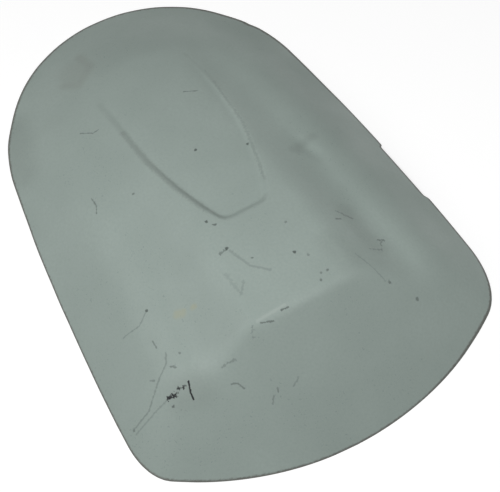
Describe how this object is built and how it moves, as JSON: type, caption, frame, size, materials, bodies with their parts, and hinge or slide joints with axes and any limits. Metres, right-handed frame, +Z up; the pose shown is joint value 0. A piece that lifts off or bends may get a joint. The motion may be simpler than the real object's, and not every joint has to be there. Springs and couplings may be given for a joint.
{
  "type": "seat cowl",
  "caption": "Motorbike tail seat cowl: thin moulded shell with a raised spine, soft shoulders, a sloping front face and a sunk top panel.",
  "frame": {"origin": "middle of the rim plane, halfway along the length and across the width", "axes": "+X from the tail to the front face, +Y across to the side with the trimmed rim, +Z up from the rim"},
  "size_m": [0.3371, 0.2428, 0.0632],
  "materials": {
    "gelcoat": "unpainted grey-green gelcoat over glass fibre laminate, semi-matte and scuffed"
  },
  "bodies": {
    "root": {"seat_cowl": "gelcoat"}
  },
  "joints": []
}
